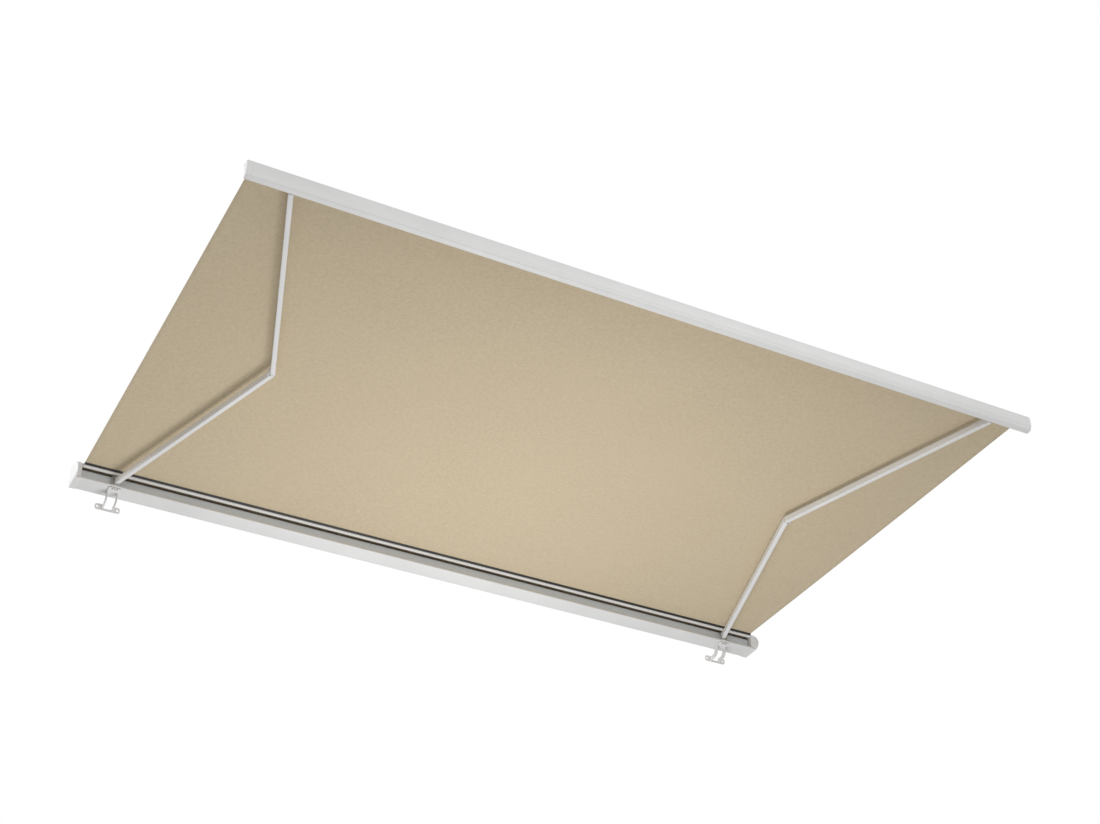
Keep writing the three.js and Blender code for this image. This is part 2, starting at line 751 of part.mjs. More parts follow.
// The elbow pin has a head at both ends.
const ELBOW_HEAD = { wider: 2.5, thick: 2.2 };
const elbowPin = () =>
  join(
    rodZ([0, 0], PIN_R, armZ(ARM_FOOT - 1.6), armZ(ARM_TOP + 1.6)),
    rodZ(
      [0, 0],
      PIN_R + ELBOW_HEAD.wider,
      armZ(ARM_TOP + GAP),
      armZ(ARM_TOP + ELBOW_HEAD.thick),
    ),
    rodZ(
      [0, 0],
      PIN_R + ELBOW_HEAD.wider,
      armZ(ARM_FOOT - ELBOW_HEAD.thick),
      armZ(ARM_FOOT - GAP),
    ),
  );

for (const { word, sign } of SIDES) {
  const elbow = new THREE.Vector3(sign * ELBOW_X, elbowY, 0);
  const place = (far, side, parts) => {
    const group = new THREE.Group();
    group.position.copy(elbow);
    group.rotation.z = Math.atan2(far[1] - elbowY, far[0] - elbow.x);
    awning.add(group);
    const half = armHalf(side);
    for (const [name, make] of parts) add(name, ...make(half), group);
  };
  // The tubes lie on the mid-width side of the line between their pivots.
  place([sign * SHOULDER_X, shoulderY], sign, [
    [`upper_arm_${word}`, (half) => [half.tube, paint()]],
    [`elbow_fork_${word}`, (half) => [half.fork, paint()]],
    [
      `shoulder_knuckle_${word}`,
      (half) => [half.knuckle(ARM_FOOT, ARM_TOP), paint()],
    ],
    [
      `arm_spring_${word}`,
      (half) => [
        half.line(
          springSleeve(SPRING.length, SPRING.turns, SPRING.radius, SPRING.depth).translate(
            SPRING.start,
            0,
            armZ(ARM.rise),
          ),
        ),
        steel(),
      ],
    ],
    [
      `spring_rod_${word}`,
      (half) => [
        half.line(
          alongX(
            circle(0, armZ(ARM.rise), ROD_R, 10),
            BLOCK.end + BLOCK.plug + GAP,
            SPRING.start - GAP,
          ),
        ),
        steel(),
      ],
    ],
    [`elbow_pin_${word}`, () => [elbowPin(), steel()]],
  ]);
  place([sign * SHOULDER_X, wristY], -sign, [
    [`forearm_${word}`, (half) => [half.tube, paint()]],
    [`elbow_knuckle_${word}`, (half) => [half.tongue, paint()]],
    [`wrist_knuckle_${word}`, (half) => [half.knuckle(WRIST.foot, WRIST.top), paint()]],
  ]);
  const pivotX = sign * SHOULDER_X;
  const bracketBore = (y) =>
    rodZ([pivotX, y], PIN_R + PIN_CLEARANCE, armZ(BORE.foot), armZ(BORE.top));
  add(`shoulder_bracket_${word}`, cut(shoulderBracket(sign), bracketBore(shoulderY)), steel());
  add(
    `shoulder_pin_${word}`,
    pinGeometry(pivotX, shoulderY, ARM_FOOT - 9, ARM_TOP + SHOULDER_PLATE + HEAD_ROOM),
    steel(),
  );
  add(
    `wrist_bracket_${word}`,
    cut(join(wristBracket(sign), wristPad(sign)), bracketBore(wristY)),
    steel(),
  );
  add(
    `wrist_pin_${word}`,
    pinGeometry(pivotX, wristY, WRIST.foot - 6, WRIST.top + WRIST_PLATE + HEAD_ROOM),
    steel(),
  );
}

// ---------------------------------------------------------------- wall brackets
// A foot plate under the floor stands on two legs, which bend back to the wall. Each leg ends
// in an ear with a screw hole, and a strip along the bottom joins the two ears.
const FOOT = { front: 6, back: 92, top: FLOOR_BACK - GAP - 0.2, half: 34, thick: 4.5 };
const FOOT_UNDER = FOOT.top - FOOT.thick;
const LEG = { x: 29, thick: 4.5 };
const WALL_PLATE = -MOUTH_Y - PLATE; // depth of the ears' front face
const legOutline = [
  ...rounded([at(50, FOOT_UNDER + 0.5), at(50, -178), at(WALL_PLATE + 0.5, -189)], 34, false, 6),
  ...rounded([at(WALL_PLATE + 0.5, -158), at(82, -150), at(82, FOOT_UNDER + 0.5)], 22, false, 6),
];
const EAR = { inner: 26.5, outer: 73, high: 18, low: -19, round: 16, hole: 58.5, holeR: 8 };
const STRIP_TOP = -7;
// Three screws near the foot's front edge hold it to the cassette.
const FOOT_SCREW = { depth: 14, pitch: 14, radius: 2, head: 3.2, headHigh: 2.2 };
const FOOT_SCREWS = [-1, 0, 1].map((step) => step * FOOT_SCREW.pitch);

function wallBracket(cx) {
  const ears = [-1, 1].map((s) => {
    const outline = rounded(
      [
        [EAR.inner, EAR.high],
        [EAR.outer, EAR.high],
        [EAR.outer, EAR.low],
        [EAR.inner, EAR.low],
      ].map(([x, z]) => [cx + s * x, z]),
      EAR.round,
      false,
      6,
    );
    return alongY(oriented(outline), -PLATE, 0, [circle(cx + s * EAR.hole, 0, EAR.holeR, 24)]);
  });
  const legs = [-1, 1].map((s) =>
    alongX(legOutline, cx + s * LEG.x - LEG.thick / 2, cx + s * LEG.x + LEG.thick / 2),
  );
  const foot = box(
    cx - FOOT.half,
    cx + FOOT.half,
    ...[FOOT.front, FOOT.back].map((depth) => MOUTH_Y + depth),
    ...[FOOT_UNDER, FOOT.top].map((rise) => CLOTH_Z + rise),
  );
  const strip = box(cx - EAR.inner - 1, cx + EAR.inner + 1, -PLATE, 0, EAR.low, STRIP_TOP);
  const bores = FOOT_SCREWS.map((x) =>
    rodZ(
      [cx + x, MOUTH_Y + FOOT_SCREW.depth],
      FOOT_SCREW.radius + GAP,
      CLOTH_Z + FOOT_UNDER - 1,
      CLOTH_Z + FOOT.top + 1,
      12,
    ),
  );
  return cut(join(foot, strip, ...ears, ...legs), ...bores);
}

function footScrew(x) {
  const under = CLOTH_Z + FOOT_UNDER - GAP;
  const place = [x, MOUTH_Y + FOOT_SCREW.depth];
  return join(
    rodZ(place, FOOT_SCREW.radius, under - 1, CLOTH_Z + FOOT.top - 0.5, 12),
    rodZ(place, FOOT_SCREW.head, under - FOOT_SCREW.headHigh, under, 16),
  );
}

for (const { word, sign } of SIDES) {
  const cx = sign * BRACKET_X;
  add(`wall_bracket_${word}`, wallBracket(cx), paint());
  FOOT_SCREWS.forEach((x, i) => {
    add(`foot_screw_${word}_${i + 1}`, footScrew(cx + x), darkSteel());
  });
}

export default awning;
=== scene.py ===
import json
from math import cos, pi, radians, sin

import bmesh
import bpy
import numpy as np
from mathutils import Euler, Matrix, Vector


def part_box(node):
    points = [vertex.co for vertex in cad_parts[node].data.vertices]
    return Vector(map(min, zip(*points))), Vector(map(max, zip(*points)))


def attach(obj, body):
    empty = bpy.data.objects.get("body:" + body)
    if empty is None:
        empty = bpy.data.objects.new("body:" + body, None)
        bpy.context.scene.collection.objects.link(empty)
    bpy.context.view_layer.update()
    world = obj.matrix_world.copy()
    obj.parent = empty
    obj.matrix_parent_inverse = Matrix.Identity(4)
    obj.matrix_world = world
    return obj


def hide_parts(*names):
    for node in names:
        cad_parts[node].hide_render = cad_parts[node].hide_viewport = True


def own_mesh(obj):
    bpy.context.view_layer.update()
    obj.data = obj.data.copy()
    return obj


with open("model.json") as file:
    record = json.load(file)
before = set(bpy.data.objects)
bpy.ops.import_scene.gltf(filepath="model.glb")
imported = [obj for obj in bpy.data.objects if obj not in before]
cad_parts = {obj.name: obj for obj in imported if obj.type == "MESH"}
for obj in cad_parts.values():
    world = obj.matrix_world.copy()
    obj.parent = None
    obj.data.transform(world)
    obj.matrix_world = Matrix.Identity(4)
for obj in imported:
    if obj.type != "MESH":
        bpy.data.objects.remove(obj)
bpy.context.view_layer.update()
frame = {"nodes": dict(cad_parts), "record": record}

# The looks of a folding-arm awning in a full cassette, drawn fully out.
# Metres, +Z up. x = 0 is mid-width, y = 0 is the wall face, and the awning reaches towards -Y.

# ---------------------------------------------------------------- places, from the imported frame
MM = 0.001
SIDES = {"left": -1, "right": 1}
CANOPY_LOW, CANOPY_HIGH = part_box("canopy")
SHELL_LOW, SHELL_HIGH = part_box("bottom_shell")
CLOTH_Z = CANOPY_LOW.z
MOUTH_Y = SHELL_LOW.y
BAR_SHELF = 20 * MM
BAR_LIP_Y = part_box("front_bar")[1].y - BAR_SHELF
ROLLER_DROP = 40 * MM
ROLLER_Y = CANOPY_HIGH.y
ROLLER_Z = CLOTH_Z - ROLLER_DROP
HALF_CLOTH = CANOPY_HIGH.x
HALF_PROFILE = SHELL_HIGH.x
HALF_WIDTH = 2250 * MM
HALF_MOUTH = 2225 * MM
WALL = 2.5 * MM
BODY_OF = {
    node: body
    for body, members in frame["record"]["behaviour"]["bodies"].items()
    for node in members
}


def at(depth, rise):
    """A (y, z) point of the cassette's section: millimetres behind its lip and above the cloth."""
    return MOUTH_Y + depth * MM, CLOTH_Z + rise * MM


def bar_at(depth, rise):
    """A (y, z) point of the front bar's section: millimetres behind its lip and above the cloth."""
    return BAR_LIP_Y + depth * MM, CLOTH_Z + rise * MM


def section(points, place=at):
    """The (y, z) points of an outline that is given as (depth, rise) pairs."""
    return [place(depth, rise) for depth, rise in points]


# ---------------------------------------------------------------- outlines
LONGEST_ROUND = 0.45


def rounded(points, radius, steps=8):
    """Rounds the inner corners of an open path, taking at most a share of each side."""
    radius *= MM
    points = [np.array(p, float) for p in points]
    out = [tuple(points[0])]
    for before, corner, after in zip(points, points[1:], points[2:]):
        ends = []
        for other in (before, after):
            length = np.linalg.norm(other - corner)
            reach = min(radius, LONGEST_ROUND * length)
            ends.append(corner + (other - corner) * reach / length)
        for k in range(steps + 1):
            t = k / steps
            point = (1 - t) ** 2 * ends[0] + 2 * t * (1 - t) * corner + t * t * ends[1]
            out.append(tuple(point))
    return out + [tuple(points[-1])]


def offset(path, thickness):
    """The path moved to its left by an even thickness."""
    points = np.array(path, float)
    along = np.diff(points, axis=0)
    along /= np.linalg.norm(along, axis=1)[:, None]
    normals = np.stack([-along[:, 1], along[:, 0]], axis=1)
    before = np.vstack([normals[:1], normals])
    after = np.vstack([normals, normals[-1:]])
    total = before + after
    scale = thickness / (1 + (before * after).sum(axis=1))
    return [tuple(p) for p in points + total * scale[:, None]]


def circle(centre, radius, sides):
    """Points evenly round a circle."""
    turns = [2 * pi * i / sides for i in range(sides)]
    return [(centre[0] + radius * cos(a), centre[1] + radius * sin(a)) for a in turns]


def shrunk(outline, middle, share):
    """The outline drawn in towards a middle point by a share of the way."""
    return [tuple(np.array(p) + (np.array(middle) - np.array(p)) * share) for p in outline]


# ---------------------------------------------------------------- meshes
SMOOTH_TO = 35
SAME_PLACE, SAME_PACKED_PLACE = 0.5e-6, 2e-6
FLAT_WITHIN = 1.5


def new_object(name, vertices, faces, corner=SMOOTH_TO):
    """A mesh object at the origin with its faces pointing out, smooth up to that corner angle."""
    mesh = bpy.data.meshes.new(name)
    mesh.from_pydata([tuple(v) for v in vertices], [], faces)
    work = bmesh.new()
    work.from_mesh(mesh)
    bmesh.ops.remove_doubles(work, verts=work.verts, dist=SAME_PLACE)
    bmesh.ops.recalc_face_normals(work, faces=work.faces)
    work.to_mesh(mesh)
    work.free()
    obj = bpy.data.objects.new(name, mesh)
    bpy.context.scene.collection.objects.link(obj)
    smooth(obj, corner)
    return obj


def smooth(obj, corner=SMOOTH_TO):
    obj.data.polygons.foreach_set("use_smooth", [True] * len(obj.data.polygons))
    obj.data.set_sharp_from_angle(angle=radians(corner))


def settled(obj):
    """The object with its modifiers made part of its mesh."""
    bpy.context.view_layer.update()
    graph = bpy.context.evaluated_depsgraph_get()
    mesh = bpy.data.meshes.new_from_object(obj.evaluated_get(graph))
    obj.modifiers.clear()
    obj.data = mesh
    return obj


def combined(base, others, operation):
    """Joins the other objects to the base, or cuts them from it, and removes them."""
    for other in others:
        modifier = base.modifiers.new("join_or_cut", "BOOLEAN")
        modifier.operation = operation
        modifier.solver = "EXACT"
        modifier.object = other
        settled(base)
        bpy.data.objects.remove(other)
    smooth(base)
    return base


def bevelled(obj, width, segments=2, corner=40):
    """The object with its edges rounded, where they are sharper than that corner angle."""
    modifier = obj.modifiers.new("edges", "BEVEL")
    modifier.width = width
    modifier.segments = segments
    modifier.limit_method = "ANGLE"
    modifier.angle_limit = radians(corner)
    modifier.use_clamp_overlap = True
    settled(obj)
    smooth(obj, 45)
    weighted = obj.modifiers.new("even_shading", "WEIGHTED_NORMAL")
    weighted.keep_sharp = True
    return settled(obj)


def stack(name, rings, axis="X", closed_ends=True):
    """A body through outlines of equally many points.
    Each ring is given as (place along the axis, outline)."""
    place = {
        "X": lambda t, a, b: (t, a, b),
        "Y": lambda t, a, b: (a, t, b),
        "Z": lambda t, a, b: (a, b, t),
    }[axis]
    count = len(rings[0][1])
    vertices = [place(t, a, b) for t, outline in rings for a, b in outline]
    faces = []
    for r in range(len(rings) - 1):
        for i in range(count):
            j = (i + 1) % count
            faces.append((r * count + i, r * count + j, (r + 1) * count + j, (r + 1) * count + i))
    if closed_ends:
        faces.append(tuple(range(count)))
        faces.append(tuple(range((len(rings) - 1) * count, len(rings) * count)))
    return new_object(name, vertices, faces)


def prism(name, outline, start, end, axis="X"):
    return stack(name, [(start, outline), (end, outline)], axis)


def ring_of(name, outers, start, end):
    """A tube along X between two outlines of equally many points."""
    outer, inner = outers
    return stack(
        name,
        [(start, outer), (end, outer), (end, inner), (start, inner), (start, outer)],
        closed_ends=False,
    )


def sheet_along_x(name, path, thickness, half):
    """An even wall that follows an open path in the section and runs from end to end."""
    return prism(name, path + offset(path, thickness)[::-1], -half, half)


def copy_of(node):
    """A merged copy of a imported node's mesh, its flat faces made whole again."""
    mesh = frame["nodes"][node].data.copy()
    work = bmesh.new()
    work.from_mesh(mesh)
    bmesh.ops.remove_doubles(work, verts=work.verts, dist=SAME_PACKED_PLACE)
    bmesh.ops.dissolve_limit(
        work,
        angle_limit=radians(FLAT_WITHIN),
        verts=work.verts,
        edges=work.edges,
        use_dissolve_boundaries=False,
    )
    work.to_mesh(mesh)
    work.free()
    mesh.materials.clear()
    obj = bpy.data.objects.new(node + "_finished", mesh)
    bpy.context.scene.collection.objects.link(obj)
    smooth(obj)
    return obj


# ---------------------------------------------------------------- materials
def add(tree, kind, inputs=None, **settings):
    """A node with its settings made and its inputs set or linked."""
    node = tree.nodes.new(kind)
    for key, value in settings.items():
        setattr(node, key, value)
    for socket, value in (inputs or {}).items():
        if isinstance(value, bpy.types.NodeSocket):
            tree.links.new(value, node.inputs[socket])
        else:
            node.inputs[socket].default_value = value
    return node


def new_material(name, roughness, metallic=0.0, specular=0.5):
    material = bpy.data.materials.new(name)
    material.use_nodes = True
    shader = material.node_tree.nodes["Principled BSDF"]
    shader.inputs["Roughness"].default_value = roughness
    shader.inputs["Metallic"].default_value = metallic
    shader.inputs["Specular IOR Level"].default_value = specular
    return material, material.node_tree, shader


def object_place(tree, scale=(1, 1, 1)):
    """Object coordinates, stretched along an axis where the scale says so."""
    where = add(tree, "ShaderNodeTexCoord").outputs["Object"]
    return add(tree, "ShaderNodeMapping", {"Vector": where, "Scale": scale}).outputs[0]


def noise(tree, place, scale, detail=2.0, roughness=0.5):
    inputs = {"Vector": place, "Scale": scale, "Detail": detail, "Roughness": roughness}
    return add(tree, "ShaderNodeTexNoise", inputs).outputs["Fac"]


def spread(tree, value, low, high, to_low=0.0, to_high=1.0):
    inputs = {
        "Value": value,
        "From Min": low,
        "From Max": high,
        "To Min": to_low,
        "To Max": to_high,
    }
    return add(tree, "ShaderNodeMapRange", inputs).outputs["Result"]


def mixed(tree, factor, first, second):
    inputs = {0: factor, 6: first, 7: second}
    return add(tree, "ShaderNodeMix", inputs, data_type="RGBA").outputs[2]


def arithmetic(tree, operation, first, second=0.0):
    return add(tree, "ShaderNodeMath", {0: first, 1: second}, operation=operation).outputs[0]


def grey(value, warmth=0.0):
    return (value * (1 + warmth), value, value * (1 - warmth), 1)


# Patches of tone and of gloss per metre, and the speckle's size as a share of the grain's.
CLOUDS, GLOSS_CLOUDS, SPECKLE = 5.0, 60.0, 0.35


def grained(name, dark, light, roughness, grain, depth, metallic=0.0, stretch=(1, 1, 1)):
    """A finish with a cloudy tone, a fine grain and an uneven gloss.
    Dark and light are its two tones, grain is bumps per metre and depth is their height."""
    material, tree, shader = new_material(name, roughness, metallic)
    place = object_place(tree, stretch)
    cloud = noise(tree, place, CLOUDS, 4.0)
    speckle = noise(tree, place, grain * SPECKLE, 2.0)
    tone = mixed(tree, spread(tree, cloud, 0.3, 0.7), dark, light)
    tone = mixed(tree, spread(tree, speckle, 0.35, 0.65, 0.0, 0.25), tone, dark)
    tree.links.new(tone, shader.inputs["Base Color"])
    patches = noise(tree, place, GLOSS_CLOUDS, 3.0)
    gloss = spread(tree, patches, 0.3, 0.7, roughness - 0.05, roughness + 0.07)
    tree.links.new(gloss, shader.inputs["Roughness"])
    bump = {"Height": noise(tree, place, grain, 1.5), "Strength": 0.35, "Distance": depth}
    tree.links.new(add(tree, "ShaderNodeBump", bump).outputs[0], shader.inputs["Normal"])
    return material


WEAVE_PITCH, WEAVE_DEPTH = 1.15 * MM, 0.12 * MM
SLUBS_ACROSS, SLUBS_ALONG = 900, 25
MOTTLES, DRIFTS = 55.0, 1.6
CANVAS_LIGHT = (0.664, 0.560, 0.394, 1)
CANVAS_DARK = (0.558, 0.459, 0.309, 1)


def canvas_material():
    """Plain woven canvas: threads both ways, slubs in the yarn and a slow drift of tone."""
    material, tree, shader = new_material("woven_canvas", 0.9, specular=0.2)
    shader.inputs["Sheen Weight"].default_value = 0.12
    shader.inputs["Sheen Roughness"].default_value = 0.6
    place = add(tree, "ShaderNodeTexCoord").outputs["Object"]
    axes = add(tree, "ShaderNodeSeparateXYZ", {0: place})

    def wave(axis, turns):
        return arithmetic(tree, "SINE", arithmetic(tree, "MULTIPLY", axes.outputs[axis], turns))

    threads = 2 * pi / WEAVE_PITCH
    warp, weft = wave("X", threads), wave("Y", threads)
    crossing = arithmetic(tree, "MULTIPLY", wave("X", threads / 2), wave("Y", threads / 2))
    over = arithmetic(tree, "GREATER_THAN", crossing, 0.0)
    weave = add(tree, "ShaderNodeMix", {0: over, 2: warp, 3: weft}, data_type="FLOAT").outputs[0]
    slub_x = noise(tree, object_place(tree, (SLUBS_ACROSS, SLUBS_ALONG, 1)), 1.0, 2.0)
    slub_y = noise(tree, object_place(tree, (SLUBS_ALONG, SLUBS_ACROSS, 1)), 1.0, 2.0)
    slub = arithmetic(tree, "ADD", slub_x, slub_y)
    mottle = noise(tree, place, MOTTLES, 5.0, 0.65)
    drift = noise(tree, place, DRIFTS, 3.0)
    tone = mixed(tree, spread(tree, mottle, 0.32, 0.68), CANVAS_DARK, CANVAS_LIGHT)
    tone = mixed(tree, spread(tree, slub, 0.75, 1.25, 0.0, 0.3), tone, CANVAS_DARK)
    tone = mixed(tree, spread(tree, drift, 0.3, 0.7, 0.0, 0.22), tone, CANVAS_LIGHT)
    # Painted shade between the threads: the colour darkens where the weave is low.
    tone = mixed(tree, spread(tree, weave, -1.0, 1.0, 0.18, 0.0), tone, CANVAS_DARK)
    tree.links.new(tone, shader.inputs["Base Color"])
    height = arithmetic(tree, "ADD", weave, arithmetic(tree, "MULTIPLY", slub, 0.8))
    bump = {"Height": height, "Strength": 0.5, "Distance": WEAVE_DEPTH}
    tree.links.new(add(tree, "ShaderNodeBump", bump).outputs[0], shader.inputs["Normal"])
    return material


PAINT = {"grain": 1500.0, "depth": 0.05 * MM}
STEEL = {"grain": 900.0, "depth": 0.03 * MM}
POWDER_COAT = grained("powder_coat_white", grey(0.79, 0.006), grey(0.84, 0.006), 0.42, **PAINT)
SHELL_COAT = grained("powder_coat_satin", grey(0.755, 0.004), grey(0.805, 0.004), 0.5, **PAINT)
# A slightly cool white, which makes up for the beige light that the cloth throws on the panel.
COOL_DARK, COOL_LIGHT = (0.73, 0.765, 0.80, 1), (0.78, 0.815, 0.85, 1)
PANEL_COAT = grained("powder_coat_cool", COOL_DARK, COOL_LIGHT, 0.5, **PAINT)
MOULDED = grained("moulded_white", grey(0.79, 0.004), grey(0.85, 0.004), 0.52, 2600.0, 0.04 * MM)
ZINC = grained(
    "zinc_plate", grey(0.52), grey(0.66), 0.33, metallic=0.9, stretch=(1, 3, 1), **STEEL
)
DARK_STEEL = grained("blued_steel", grey(0.07), grey(0.12), 0.45, metallic=0.7, **STEEL)
BLACK = grained("moulded_black", grey(0.018), grey(0.03), 0.55, 2200.0, 0.04 * MM)
CANVAS = canvas_material()
THREAD = grained("sewing_thread", grey(0.50, 0.12), grey(0.60, 0.12), 0.8, 4000.0, 0.05 * MM)


def fit(obj, material, body, *nodes):
    """Finishes a piece: its material and slot, the body it rides on and the nodes it stands for."""
    obj.data.materials.clear()
    obj.data.materials.append(material)
    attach(obj, body)
    if nodes:
        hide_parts(*nodes)
    return obj


def dress(node, material):
    """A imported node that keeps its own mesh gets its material."""
    mesh = frame["nodes"][node].data
    mesh.materials.clear()
    mesh.materials.append(material)


# ---------------------------------------------------------------- what repeats, by Geometry Nodes
def new_tree(name, inputs):
    """A Geometry Nodes tree with named inputs, each given as (name, socket type, value)."""
    tree = bpy.data.node_groups.new(name, "GeometryNodeTree")
    tree.interface.new_socket("Geometry", in_out="OUTPUT", socket_type="NodeSocketGeometry")
    for label, kind, value in inputs:
        socket = tree.interface.new_socket(label, in_out="INPUT", socket_type=kind)
        if value is not None:
            socket.default_value = value
    entry = tree.nodes.new("NodeGroupInput")
    return tree, entry.outputs


def end_tree(tree, geometry, material):
    real = add(tree, "GeometryNodeRealizeInstances", {0: geometry}).outputs[0]
    coloured = add(tree, "GeometryNodeSetMaterial", {0: real, "Material": material}).outputs[0]
    tree.links.new(coloured, tree.nodes.new("NodeGroupOutput").inputs[0])


def grown(name, tree, values):
    """A new object made by the tree with these input values, as a plain mesh."""
    obj = bpy.data.objects.new(name, bpy.data.meshes.new(name))
    bpy.context.scene.collection.objects.link(obj)
    modifier = obj.modifiers.new("grow", "NODES")
    modifier.node_group = tree
    for item in tree.interface.items_tree:
        if item.in_out == "INPUT" and item.name in values:
            modifier[item.identifier] = values[item.name]
    settled(obj)
    smooth(obj, 40)
    return obj


def placed_along(tree, line, instance, turn, size=(1, 1, 1)):
    """A copy of the instance on each point of a straight row."""
    points = add(tree, "GeometryNodeMeshLine", line, mode="OFFSET").outputs[0]
    inputs = {"Points": points, "Instance": instance, "Rotation": turn, "Scale": size}
    return add(tree, "GeometryNodeInstanceOnPoints", inputs).outputs[0]


HEAD_SIDES, RECESS_SIDES = 32, 6
# The turned steps of a screw's head, from the washer up: width, the top's share of it, height
# and foot, each as a share of the head's radius or height.
HEAD_STEPS = [
    (1.28, 0.97, 0.18, 0.0),
    (1.0, 1.0, 0.7, 0.17),
    (1.0, 0.8, 0.2, 0.87),
]
RECESS_TAPER, RECESS_FOOT = 0.9, 0.55


def screw_tree():
    """A screw's head: a washer, a head with a softened crown, and a six-sided recess."""
    tree, given = new_tree(
        "screw_head",
        [
            ("Start", "NodeSocketVector", None),
            ("Turn", "NodeSocketRotation", None),
            ("Radius", "NodeSocketFloat", 4 * MM),
            ("Height", "NodeSocketFloat", 3 * MM),
            ("Recess", "NodeSocketFloat", 0.5),
            ("Material", "NodeSocketMaterial", None),
        ],
    )
    height, radius = given["Height"], given["Radius"]

    def scaled(value, share):
        return add(tree, "ShaderNodeMath", {0: value, 1: share}, operation="MULTIPLY").outputs[0]

    def disc(width, taper, tall, foot, sides):
        cone = {
            "Vertices": sides,
            "Radius Bottom": width,
            "Radius Top": scaled(width, taper),
            "Depth": tall,
        }
        made = add(tree, "GeometryNodeMeshCone", cone).outputs["Mesh"]
        lift = add(tree, "ShaderNodeCombineXYZ", {"Z": scaled(height, foot)}).outputs[0]
        return add(tree, "GeometryNodeTransform", {0: made, "Translation": lift}).outputs[0]

    whole = add(tree, "GeometryNodeMeshBoolean", operation="UNION", solver="EXACT")
    for width, taper, tall, foot in HEAD_STEPS:
        step = disc(scaled(radius, width), taper, scaled(height, tall), foot, HEAD_SIDES)
        tree.links.new(step, whole.inputs["Mesh"])
    hole = disc(scaled(radius, given["Recess"]), RECESS_TAPER, height, RECESS_FOOT, RECESS_SIDES)
    head = add(tree, "GeometryNodeMeshBoolean", operation="DIFFERENCE", solver="EXACT")
    tree.links.new(whole.outputs[0], head.inputs["Mesh 1"])
    tree.links.new(hole, head.inputs["Mesh 2"])
    line = {"Count": 1, "Start Location": given["Start"]}
    end_tree(tree, placed_along(tree, line, head.outputs[0], given["Turn"]), given["Material"])
    return tree


# Half a stitch's length as a share of the pitch, how far a stitch may lean, and the seed for it.
STITCH_LENGTH, STITCH_LEAN, STITCH_SEED = 0.42, 0.06, 7


def stitch_tree():
    """A straight seam of even stitches, each a short thread that dips at both ends."""
    tree, given = new_tree(
        "seam",
        [
            ("Count", "NodeSocketInt", 100),
            ("Start", "NodeSocketVector", None),
            ("Pitch", "NodeSocketFloat", 3.6 * MM),
            ("Thread", "NodeSocketFloat", 0.3 * MM),
            ("Material", "NodeSocketMaterial", None),
        ],
    )
    ball = add(tree, "GeometryNodeMeshUVSphere", {"Segments": 6, "Rings": 4, "Radius": 1.0})
    length = add(
        tree, "ShaderNodeMath", {0: given["Pitch"], 1: STITCH_LENGTH}, operation="MULTIPLY"
    ).outputs[0]
    size = {"X": given["Thread"], "Y": length, "Z": given["Thread"]}
    shape = add(tree, "ShaderNodeCombineXYZ", size).outputs[0]
    lean = add(tree, "FunctionNodeRandomValue", {"Seed": STITCH_SEED}, data_type="FLOAT")
    lean.inputs[2].default_value = -STITCH_LEAN
    lean.inputs[3].default_value = STITCH_LEAN
    turn = add(tree, "ShaderNodeCombineXYZ", {"Z": lean.outputs[1]}).outputs[0]
    step = add(tree, "ShaderNodeCombineXYZ", {"Y": given["Pitch"]}).outputs[0]
    line = {"Count": given["Count"], "Start Location": given["Start"], "Offset": step}
    placed = placed_along(tree, line, ball.outputs["Mesh"], turn, shape)
    end_tree(tree, placed, given["Material"])
    return tree


POINTS_PER_TURN, WIRE_SIDES = 14, 6


def spring_tree():
    """A coil of round wire along Z."""
    tree, given = new_tree(
        "coil",
        [
            ("Turns", "NodeSocketFloat", 100.0),
            ("Radius", "NodeSocketFloat", 8 * MM),
            ("Length", "NodeSocketFloat", 500 * MM),
            ("Wire", "NodeSocketFloat", 1.2 * MM),
            ("Material", "NodeSocketMaterial", None),
        ],
    )
    spiral = {
        "Resolution": POINTS_PER_TURN,
        "Rotations": given["Turns"],
        "Start Radius": given["Radius"],
        "End Radius": given["Radius"],
        "Height": given["Length"],
    }
    path = add(tree, "GeometryNodeCurveSpiral", spiral).outputs[0]
    wire = {"Resolution": WIRE_SIDES, "Radius": given["Wire"]}
    rim = add(tree, "GeometryNodeCurvePrimitiveCircle", wire, mode="RADIUS").outputs[0]
    body = {"Curve": path, "Profile Curve": rim, "Fill Caps": True}
    end_tree(tree, add(tree, "GeometryNodeCurveToMesh", body).outputs[0], given["Material"])
    return tree


# A head is grown facing up. These turns about X make it face forwards or down.
HEAD_TURN = {"Y": pi / 2, "Z": pi}


def screw(name, node, tree, axis, shank, head):
    """A screw that stands for a node: a plain shank along its axis and a head at its low end.
    The shank is its radius and sides, the head its radius, height, recess and place."""
    low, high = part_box(node)
    middle = (low + high) / 2
    k = "XYZ".index(axis)
    centre = [middle[i] for i in range(3) if i != k]
    body = prism("shank", circle(centre, *shank), low[k] + MM, high[k], axis)
    radius, height, recess, place = head
    start = [low[k] + place if i == k else middle[i] for i in range(3)]
    values = {
        "Start": tuple(start),
        "Turn": Euler((HEAD_TURN[axis], 0, 0)),
        "Radius": radius,
        "Height": height,
        "Recess": recess,
        "Material": DARK_STEEL,
    }
    made = combined(body, [grown("head", tree, values)], "UNION")
    made.name = name
    return fit(made, DARK_STEEL, "cassette", node)


# ---------------------------------------------------------------- cassette
# Outlines are (depth, rise) pairs: millimetres behind the lip and above the cloth.
FLOOR_FRONT, FLOOR_BACK, HOUSING_BACK = -101, -104, 134
HEEL, HEEL_STEPS = 40, 16
# The gap kept between neighbouring pieces.
SEAM = 0.4
SHELL_TOP, HOUSING_TOP, HOOD_BACK, HOOD_RISE = -62, 33, 96, 34


def floor_under(depth):
    """Rise of the floor's lower face."""
    return FLOOR_FRONT + (FLOOR_BACK - FLOOR_FRONT) * depth / HOUSING_BACK


